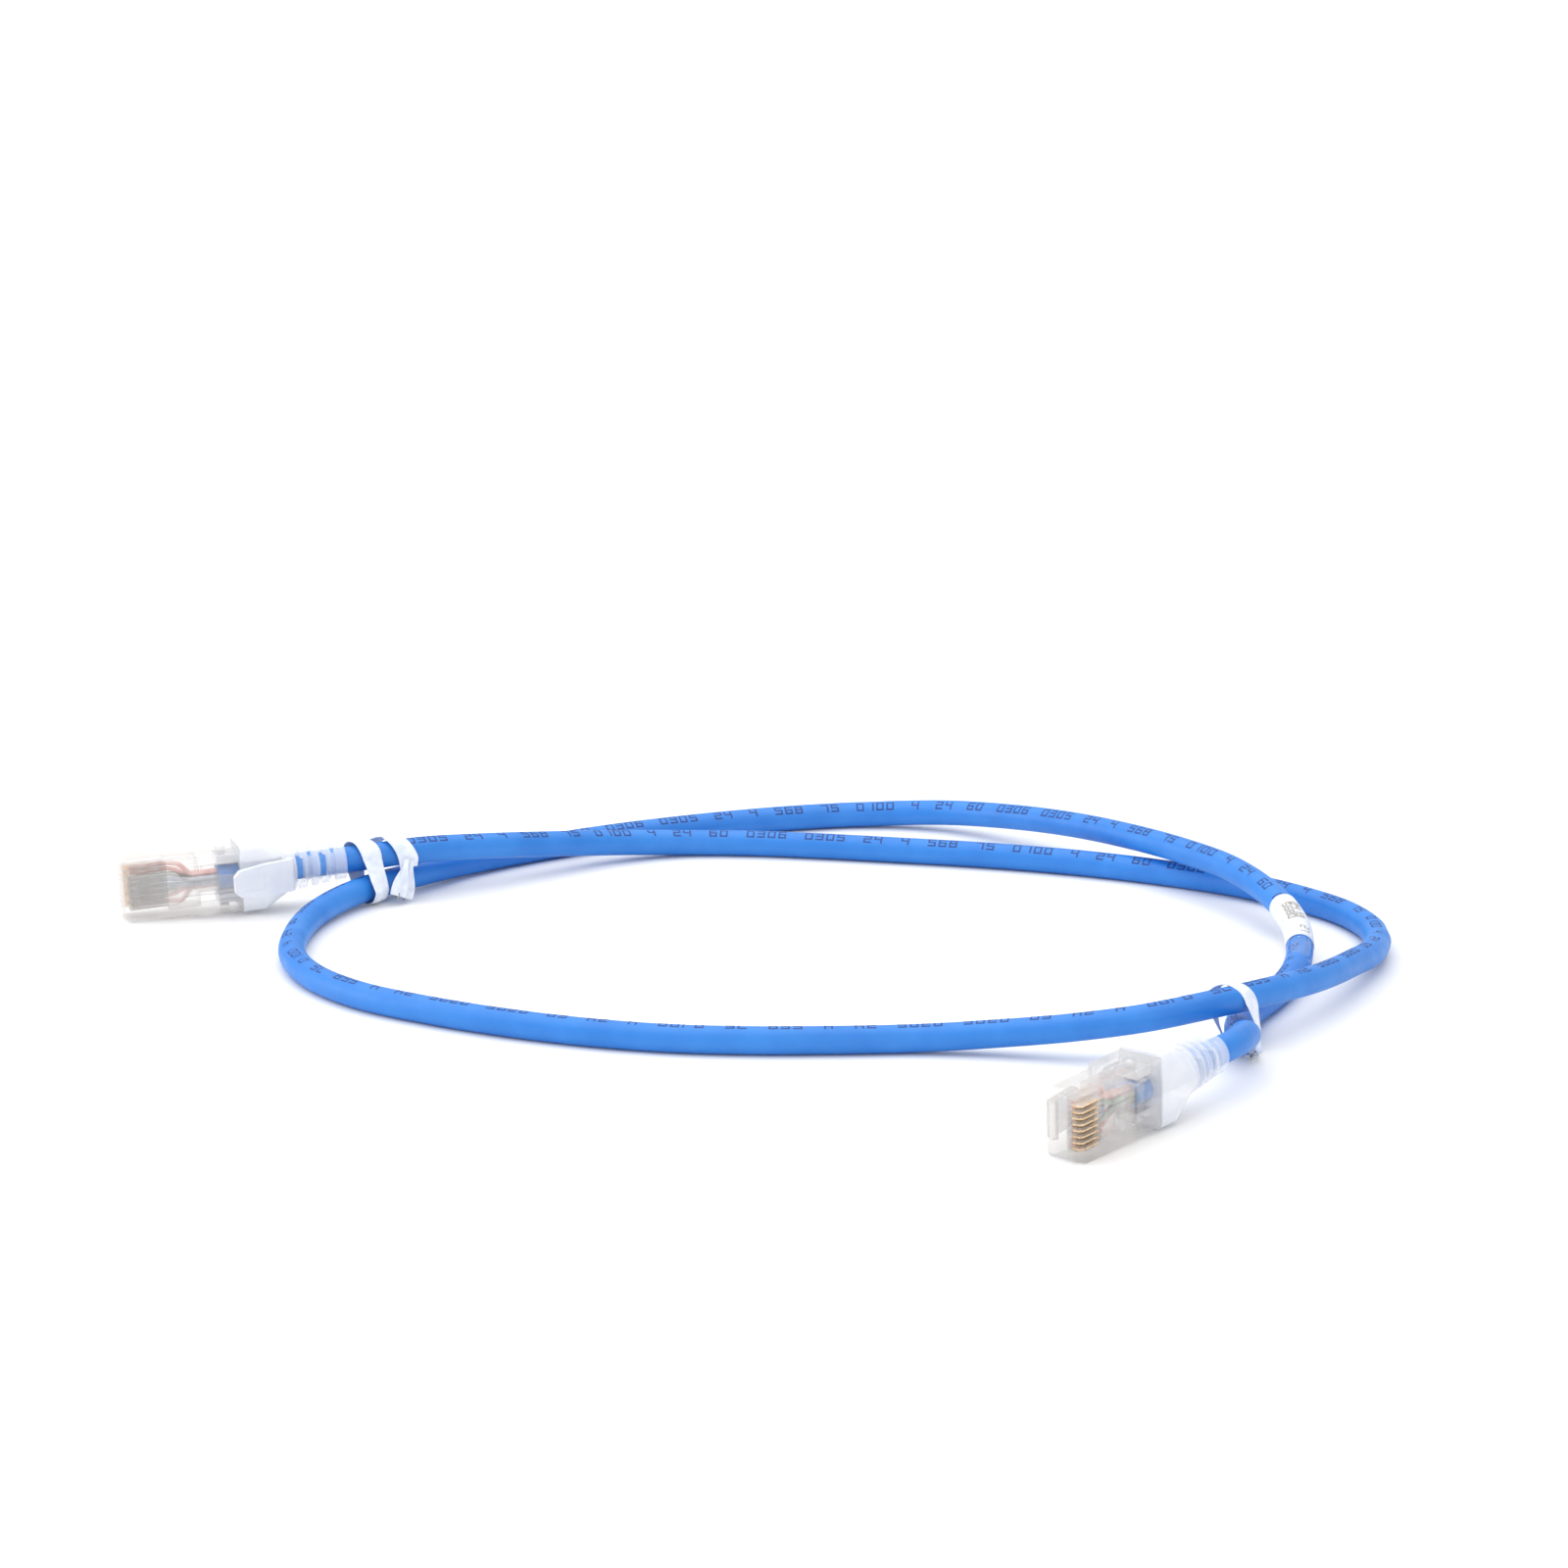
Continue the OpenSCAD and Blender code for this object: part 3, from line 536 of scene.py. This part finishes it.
# %% Digits and strokes
STROKES = {
    "top": ((0, 2), (1, 2)), "middle": ((0, 1), (1, 1)), "bottom": ((0, 0), (1, 0)),
    "upper_left": ((0, 1), (0, 2)), "upper_right": ((1, 1), (1, 2)),
    "lower_left": ((0, 0), (0, 1)), "lower_right": ((1, 0), (1, 1)),
}
LEVELS = ("top", "middle", "bottom")
UPRIGHTS = ("upper_left", "upper_right", "lower_left", "lower_right")
DIGITS = {
    "0": ("top", "bottom", *UPRIGHTS), "1": ("upper_right", "lower_right"),
    "2": (*LEVELS, "upper_right", "lower_left"), "3": (*LEVELS, "upper_right", "lower_right"),
    "4": ("middle", "upper_left", "upper_right", "lower_right"),
    "5": (*LEVELS, "upper_left", "lower_right"),
    "6": (*LEVELS, "upper_left", "lower_left", "lower_right"),
    "7": ("top", "upper_right", "lower_right"), "8": (*LEVELS, *UPRIGHTS),
    "9": (*LEVELS, "upper_left", "upper_right", "lower_right"),
}
UPRIGHT_ROWS = 4  # an upright stroke is bent round the cable in this many steps


def print_line(grid, figures, start, radius, angle_at, pitch, width, height, pen):
    """Adds strokes of figures on the cable's surface, from a distance in mm from boot A."""
    points, faces = grid
    for count, figure in enumerate(figures):
        origin = start + count * pitch
        for stroke in DIGITS.get(figure, ()):
            (x1, y1), (x2, y2) = STROKES[stroke]
            x1, x2 = origin + x1 * width - pen / 2, origin + x2 * width + pen / 2
            y1, y2 = (y1 / 2 - 0.5) * height - pen / 2, (y2 / 2 - 0.5) * height + pen / 2
            rows = UPRIGHT_ROWS if y2 - y1 > 2 * pen else 1
            base = len(points)
            for x in (x1, x2):
                place = place_at(x)
                for row in range(rows + 1):
                    turn = angle_at(x) + (y1 + (y2 - y1) * row / rows) / radius
                    points.append(round_axis(place, turn, radius))
            for row in range(rows):
                a, b = base + row, base + rows + 1 + row
                faces.append((a, b, b + 1, a + 1))


print("digits:", len(DIGITS), "from", len(STROKES), "strokes")

# %% [markdown]
# ## The jacket's legend
#
# The legend repeats a short row of number groups from end to end, a hair proud of the jacket.
# The line of print wanders round the jacket as the cable turns: `LEGEND_WAY` gives, for a
# distance from boot A in mm, the angle of the print above the level side.

# %% Legend
LEGEND_WAY = [(0, 70), (160, 62), (250, 95), (420, 86), (500, 118), (560, 70), (640, 52),
              (720, 64), (800, 60), (900, 60)]
LEGEND_GROUPS = ["0305", "24", "4", "568", "75", "0100", "4", "24", "60", "0306"]
LEGEND_TYPE = {"pitch": 2.05, "width": 1.2, "height": 1.6, "pen": 0.32}
LEGEND_FROM, LEGEND_TO_END = 12.0, 22  # bare jacket before the first group and after the last
GROUP_GAP = 3.1
INK_PROUD = 0.012


def eased(stations, x):
    """Value at x of a smooth line through (x, value) stations."""
    for (x1, v1), (x2, v2) in zip(stations, stations[1:]):
        if x <= x2:
            f = max(0.0, (x - x1) / (x2 - x1))
            return v1 + (v2 - v1) * f * f * (3 - 2 * f)
    return stations[-1][1]


legend_grid = ([], [])
distance, printed = LEGEND_FROM, 0
while distance < free_length - LEGEND_TO_END:
    group = LEGEND_GROUPS[printed % len(LEGEND_GROUPS)]
    print_line(legend_grid, group, distance, JACKET_R + INK_PROUD,
               lambda x: math.radians(eased(LEGEND_WAY, x)), **LEGEND_TYPE)
    distance += LEGEND_TYPE["pitch"] * len(group) + GROUP_GAP
    printed += 1
legend = piece("jacket_legend", mesh_of("jacket_legend", *legend_grid), jacket_ink)
print("legend:", printed, "groups,", len(legend.data.polygons), "faces")

# %% [markdown]
# ## The label
#
# A white vinyl label is wrapped round the cable, with a clear tail of the same stock laid on
# past it. Where a wrapped sheet overlaps itself its free edge stands off, which shows as a
# step along the cable. A sleeve of one thickness would lose that step, so the outside grows
# from one side of the seam to the other.

# %% Wrapping a sleeve
WRAP_SIDES = 40
SEAM = math.radians(-110)


def wrapped(name, places_along, inner, outer, step, steps):
    """A closed sleeve round the cable, whose outside steps up by `step` at the seam."""
    first, last = places_along
    points, faces = [], []
    for i in range(steps + 1):
        place = first + (last - first) * i / steps
        for k in range(WRAP_SIDES):
            f = k / (WRAP_SIDES - 1)
            for radius in (inner, outer + step * f):
                points.append(round_axis(place, SEAM + f * 2 * math.pi, radius))
    ring = 2 * WRAP_SIDES
    edge = ring - 2
    for i in range(steps):
        for k in range(0, edge, 2):
            a, b = i * ring + k, (i + 1) * ring + k
            faces.append((a, a + 2, b + 2, b))
            faces.append((a + 1, b + 1, b + 3, a + 3))
        a, b = i * ring, (i + 1) * ring
        faces.append((a, b, b + 1, a + 1))
        faces.append((a + edge, a + edge + 1, b + edge + 1, b + edge))
    for end, flip in ((0, False), (steps * ring, True)):
        for a in range(end, end + edge, 2):
            face = (a, a + 1, a + 3, a + 2)
            faces.append(face[::-1] if flip else face)
    return mesh_of(name, points, faces)


print("seam:", round(math.degrees(SEAM)), "degrees from the cable's level side")

# %% [markdown]
# The sheet's print is a small block of plain figures and a number near its far end.

# %% Label, its clear tail and its print
LABEL_IN, LABEL_OUT, LABEL_STEP = JACKET_R + 0.03, JACKET_R + 0.13, 0.07
FILM_OUT, FILM_STEP = JACKET_R + 0.08, 0.04
LABEL_PLACES, FILM_PLACES = (53.4, 54.8), (54.85, 55.5)
BLOCK_TYPE = {"pitch": 1.75, "width": 1.1, "height": 1.25, "pen": 0.34}
NUMBER_TYPE = {"pitch": 1.4, "width": 0.9, "height": 1.6, "pen": 0.24}
BLOCK_IN, NUMBER_BACK = 3.4, 4.4  # from the sheet's near end and back from its far end
LABEL_PRINT_R = LABEL_OUT + LABEL_STEP + 0.01

label_sheet = piece(
    "label_sheet", wrapped("label_sheet", LABEL_PLACES, LABEL_IN, LABEL_OUT,
                           LABEL_STEP, steps=16),
    label_vinyl, ["label_wrap"])
label_tail = piece(
    "label_tail", wrapped("label_tail", FILM_PLACES, LABEL_IN, FILM_OUT,
                          FILM_STEP, steps=10),
    film_pet, ["label_film"])
label_start, label_end = [distance_at(place) for place in LABEL_PLACES]
LABEL_PRINT = [
    ("5680", label_start + BLOCK_IN, 70, BLOCK_TYPE),
    ("2413", label_start + BLOCK_IN, 106, BLOCK_TYPE),
    ("27", label_end - NUMBER_BACK, 112, NUMBER_TYPE),
]
label_grid = ([], [])
for figures, start, angle, type_size in LABEL_PRINT:
    print_line(label_grid, figures, start, LABEL_PRINT_R,
               lambda x, a=angle: math.radians(a), **type_size)
label_marks = piece("label_marks", mesh_of("label_marks", *label_grid), label_ink)
print("label:", round(label_end - label_start, 1), "mm long")

# %% [markdown]
# ## Twist ties
#
# A tie is a steel wire between two thin plastic wings. It winds round two stacked runs of the
# cable as an upright oval, and its ends are twisted together. For each tie, `place` and `yaw`
# put it on its runs and `height` is the upper run's. Where the runs cross at an angle, `aside`
# is half of how far apart they lie, and `lean` how much of that each mm along them takes away.
# `drift` says where along the runs the ribbon lies at each share of its turns, `over` how far
# its last turn stands off where it rides on the first, and `end` where on the oval it stops.
# `tail` turns the twisted end, in degrees about X, Y and Z, and the last four say how long
# the free ends are, how far they part, how their wings lie and how far the wire stands out.

# %% Sizes of the ties
RIBBON_T = 0.4  # room for the ribbon's thickness, over its wire
RIBBON_R = JACKET_R + 1.08  # inner radius, so that both runs clear it while they cross
RIBBON_GAP = 0.1  # between the ribbon and the top of the upper run
OVAL_LOW = RIBBON_R + RIBBON_T + 0.01  # lower centre of the oval, a hair clear of the table
STACK_HALF = (2 * JACKET_R + 0.6) / 2  # half of the height between the two runs
TIES = {
    "left": {
        "place": (-48.9, 76.7, 0), "yaw": 37, "height": 8.5, "width": 3.5,
        "aside": 0.5, "lean": 0.29, "turns": 1.5, "end": 0.535, "over": 0.34,
        "drift": [(0, -3.9), (0.31, -3.5), (0.48, -3.4), (0.64, -3.8), (0.85, 1.9), (1, 3.0)],
        "tail": (171, 22, 0), "tail_len": 7.2, "splay": 0.6, "wings": 0, "wire_out": 0.5},
    "right": {
        "place": (100.5, -16.4, 0), "yaw": 62, "height": 8.6, "width": 2.3,
        "aside": 0.95, "lean": 0.42, "turns": 0.95, "end": 0.75, "over": 0.0,
        "drift": [(0, -0.4), (1, 0.4)],
        "tail": (0, 88, 197), "tail_len": 6.0, "splay": 0.0, "wings": 90, "wire_out": 1.2},
}
print("ties:", ", ".join(TIES))

# %% [markdown]
# The path of the ribbon is worked out on the oval first, as if the two runs stood straight
# above each other. Then each height is moved sideways with the run that is nearest to it.

# %% The ribbon's path


def oval(f, low, high, r):
    """Point of an upright oval, f of the way round it from its lower right."""
    straight, arc = high - low, math.pi * r
    s = f * 2 * (straight + arc)
    if s < straight:
        return r, low + s
    if s < straight + arc:
        a = (s - straight) / r
        return r * math.cos(a), high + r * math.sin(a)
    if s < 2 * straight + arc:
        return -r, high - (s - straight - arc)
    a = math.pi + (s - 2 * straight - arc) / r
    return r * math.cos(a), low + r * math.sin(a)


def round_stack(tie, g, x, r):
    """Point of a tie at turn g, at x along the stack, at r from the nearer run's axis."""
    high = tie["height"] + JACKET_R + RIBBON_GAP - RIBBON_R
    across, up = oval(g % 1, OVAL_LOW, high, r)
    side = max(-1.0, min(1.0, (up - (OVAL_LOW + high) / 2) / STACK_HALF))
    return Vector((x, across + (tie["aside"] - tie["lean"] * x) * side, up))


print("ribbon stands", round(RIBBON_R - JACKET_R, 2), "mm off the jacket at its sides")

# %% [markdown]
# The ribbon is thick over its wire and thin at its wings. Its wings curl up and down and its
# width wavers, in waves that are never in step, as in plastic that was turned by hand. The
# band is built station by station, so its inside, outside, edges and ends all close.

# %% The ribbon
ACROSS = 14  # strips across the ribbon
STEPS_PER_TURN = 120
WING_T, WIRE_BULGE, BULGE_HALF = 0.14, 0.24, 0.42
CURL, CURL_WAVE, CURL_SKEW = 0.035, 31, 0.8
WAVER, WAVER_WAVE = 0.035, 17
FLUTTER, FLUTTER_WAVE = 0.02, 41
LAST_TURN = [(0, 0), (0.6, 0), (0.7, 1), (1, 1)]  # the share of `over` along the turns


def thickness(w):
    """Thickness of the ribbon in mm, at w mm from its wire."""
    return WING_T + WIRE_BULGE * math.exp(-(w / BULGE_HALF) ** 2)


def band_mesh(name, steps, points):
    """Closes a band whose points run station by station, inner and outer in turn."""
    ring = 2 * (ACROSS + 1)
    edge = ring - 2
    faces = []
    for i in range(steps):
        for j in range(0, edge, 2):
            a, b = i * ring + j, (i + 1) * ring + j
            faces.append((a, b, b + 2, a + 2))
            faces.append((a + 1, a + 3, b + 3, b + 1))
        a, b = i * ring, (i + 1) * ring
        faces.append((a, a + 1, b + 1, b))
        faces.append((a + edge, b + edge, b + edge + 1, a + edge + 1))
    for start, flip in ((0, True), (steps * ring, False)):
        for a in range(start, start + edge, 2):
            face = (a, a + 2, a + 3, a + 1)
            faces.append(face[::-1] if flip else face)
    return mesh_of(name, points, faces)


def ribbon_mesh(name, tie, turned):
    """The part of a tie that winds round the runs."""
    steps = round(tie["turns"] * STEPS_PER_TURN)
    points = []
    for i in range(steps + 1):
        g = tie["end"] - (1 - i / steps) * tie["turns"]
        x0 = eased(tie["drift"], i / steps)
        over = tie["over"] * eased(LAST_TURN, i / steps)
        waver = WAVER * math.sin(WAVER_WAVE * g)
        flutter = FLUTTER * math.sin(FLUTTER_WAVE * g)
        for j in range(ACROSS + 1):
            w = (j / ACROSS - 0.5) * tie["width"]
            thick = thickness(w)
            curl = CURL * math.sin(CURL_WAVE * g + CURL_SKEW * w) * (2 * w / tie["width"]) ** 2
            lift = 0.5 * (RIBBON_T - thick) + curl
            x = x0 + w * (1 + waver + flutter)
            for r in (RIBBON_R + lift + over, RIBBON_R + lift + over + thick):
                points.append(turned @ round_stack(tie, g, x, r))
    return band_mesh(name, steps, points)


print("ribbon:", round(thickness(0), 2), "mm over its wire")

# %% [markdown]
# Where the ends are twisted together, each ribbon is squeezed into a round strand, and the
# two strands lie side by side. Past the twist each end opens again into a flat ribbon, with
# its wire cut off just past the plastic. The cutter pinches the wire's end flat.

# %% The twisted ends
STRAND_D = 1.1
STRAND_ASIDE = 0.48  # of a strand's diameter, from the middle of the twist
TAIL_START, TAIL_TWIST = 0.05, 40
TAIL_STEPS = 30
FLAT_SHARE = 0.62  # an opened end is this much of its thickness to each side
BOW, BOW_WAVE = 0.1, 5
THIN_EDGE = 0.06  # the strand's edge keeps this share of its squared half thickness
WIRE_D, WIRE_SIDES = 0.5, 16
WIRE_IN, PINCH_LEN = 0.6, 0.25
PINCH_WIDE, PINCH_FLAT = 1.1, 0.3


def strand_centre(turn, aside):
    """Centre of a strand at a turn of the twist, moved aside by its splay."""
    centre = Vector((math.cos(turn), math.sin(turn), 0)) * STRAND_ASIDE * STRAND_D
    centre.x += aside
    return centre


def end_mesh(name, tie, tail, way):
    """One free end of a tie: a rounded strand that opens into a flat ribbon."""
    points = []
    for i in range(TAIL_STEPS + 1):
        f = i / TAIL_STEPS
        ease = f * f * (3 - 2 * f)
        turn = math.radians(-TAIL_TWIST * f) + (0 if way > 0 else math.pi)
        centre = strand_centre(turn, way * tie["splay"] * ease)
        wings = math.radians(90 + (tie["wings"] - 90) * ease)
        width = Vector((math.cos(wings), math.sin(wings), 0)) * way
        depth = Vector((width.y, -width.x, 0))
        reach = Vector((0, 0, tie["tail_len"] * f))
        wide = STRAND_D + (tie["width"] - STRAND_D) * ease
        for j in range(ACROSS + 1):
            w = (j / ACROSS - 0.5) * wide
            full = 0.5 * STRAND_D * math.sqrt(max(THIN_EDGE, 1 - (2 * w / STRAND_D) ** 2))
            half = full * (1 - ease) + FLAT_SHARE * thickness(w) * ease
            bow = BOW * ease * (2 * w / wide) ** 2 * math.sin(BOW_WAVE * f + way)
            for d in (bow - half, bow + half):
                points.append(tail @ (centre + w * width + d * depth + reach))
    return band_mesh(name, TAIL_STEPS, points)


def cut_wires(name, tie, tail):
    """The two cut ends of a tie's wire: short rods, pinched flat by the cutter."""
    stations = ((-WIRE_IN, 1, 1), (tie["wire_out"] - PINCH_LEN, 1, 1),
                (tie["wire_out"], PINCH_WIDE, PINCH_FLAT))
    points, faces = [], []
    for way in (1, -1):
        turn = math.radians(-TAIL_TWIST) + (0 if way > 0 else math.pi)
        centre = strand_centre(turn, way * tie["splay"])
        base = len(points)
        for z, wide, flat in stations:
            for k in range(WIRE_SIDES):
                a = 2 * math.pi * k / WIRE_SIDES
                rim = Vector((wide * WIRE_D / 2 * math.cos(a),
                              flat * WIRE_D / 2 * math.sin(a), tie["tail_len"] + z))
                points.append(tail @ (centre + rim))
        for ring in (0, WIRE_SIDES):
            for k in range(WIRE_SIDES):
                a, b = base + ring + k, base + ring + (k + 1) % WIRE_SIDES
                faces.append((a, b, b + WIRE_SIDES, a + WIRE_SIDES))
        faces.append(tuple(base + k for k in reversed(range(WIRE_SIDES))))
        faces.append(tuple(base + 2 * WIRE_SIDES + k for k in range(WIRE_SIDES)))
    return mesh_of(name, points, faces)


print("strand:", STRAND_D, "mm thick, wire:", WIRE_D, "mm")

# %% [markdown]
# Each tie becomes four pieces: its ribbon, its two ends and the cut wires in them. The ribbon
# stands for the frame's plain tie, and the cut wires for its plain wire ends.

# %% Twist ties
for name, tie in TIES.items():
    turned = (Matrix.Translation(tie["place"])
              @ Matrix.Rotation(math.radians(tie["yaw"]), 4, "Z"))
    root = round_stack(tie, tie["end"] - TAIL_START, tie["drift"][-1][1],
                       RIBBON_R + RIBBON_T + STRAND_D / 4)
    tail = turned @ Matrix.Translation(root)
    for angle, along in zip(reversed(tie["tail"]), "ZYX"):
        tail = tail @ Matrix.Rotation(math.radians(angle), 4, along)
    title = "tie_ribbon_" + name
    piece(title, ribbon_mesh(title, tie, turned), tie_plastic,
                            ["tie_" + name])
    for strand, way in (("1", 1), ("2", -1)):
        title = "tie_end_" + name + strand
        piece(title, end_mesh(title, tie, tail, way), tie_plastic)
    title = "tie_cut_" + name
    piece(title, cut_wires(title, tie, tail), steel,
                            ["tie_wire_" + name])

# %% [markdown]
# ## The cord's two ends
#
# The free cable leaves boot A and goes back into the part at boot B.

# %% [markdown]
# ## Table
#
# A white matt table that curves up far behind, as a studio sweep does, so that no edge
# shows. Its profile is in millimetres: how far behind the origin, and how high.

# %% Table
TABLE_PROFILE = [(-2000, 0), (2200, 0), (2600, 30), (2950, 140), (3200, 340), (3350, 600),
                 (3400, 900), (3400, 3000)]
TABLE_HALF = 3000

table_material = surface(
    "white_table", "#EFEFEF", "#F3F3F3", tone_size=60, rough=(0.75, 0.85),
    rough_size=40, relief=0.01, relief_size=2)
table_points = [(x, y, z) for y, z in TABLE_PROFILE for x in (-TABLE_HALF, TABLE_HALF)]
table_faces = [(a, a + 1, a + 3, a + 2) for a in range(0, len(table_points) - 2, 2)]
table_mesh = mesh_of("table", table_points, table_faces)
table_mesh.materials.append(table_material)
table = bpy.data.objects.new("table", table_mesh)
scene.collection.objects.link(table)
print("table:", len(table_faces), "faces")

# %% [markdown]
# ## Light
#
# A white sky and one large soft box overhead: the light is high and even, so the jacket is
# palest on top and deepens below its middle. Two small fills, in front and on the left, open
# up the near bends. The Standard view transform shows each colour as its hex value says,
# where a filmic one would grey the blue and the whites.

# %% Lights
SKY_TONE, SKY_STRENGTH = (1, 1, 1, 1), 0.8


def softbox(name, place, target, size, power):
    """A square area light that faces a point."""
    data = bpy.data.lights.new(name, "AREA")
    data.shape, data.size, data.energy = "SQUARE", size, power
    lamp = bpy.data.objects.new(name, data)
    lamp.location = place
    aim = Vector(target) - Vector(place)
    lamp.rotation_euler = aim.to_track_quat("-Z", "Y").to_euler()
    scene.collection.objects.link(lamp)


softbox("overhead_box", (-0.2, 0.5, 1.7), target=(0.0, 0.5, 0), size=2.8, power=32)
softbox("front_fill", (0.4, -1.3, 0.6), target=(0.02, 0.0, 0), size=0.8, power=2.5)
softbox("left_fill", (-1.2, 0.0, 0.38), target=(-0.05, 0.04, 0), size=0.9, power=6)
world = bpy.data.worlds.new("white_sky")
world.use_nodes = True
sky = world.node_tree.nodes["Background"].inputs
sky["Color"].default_value = SKY_TONE
sky["Strength"].default_value = SKY_STRENGTH
scene.world = world
scene.view_settings.view_transform = "Standard"
print("lights:", len(bpy.data.lights), "soft boxes and a sky of", SKY_STRENGTH)

# %% Last update of the scene
bpy.context.view_layer.update()
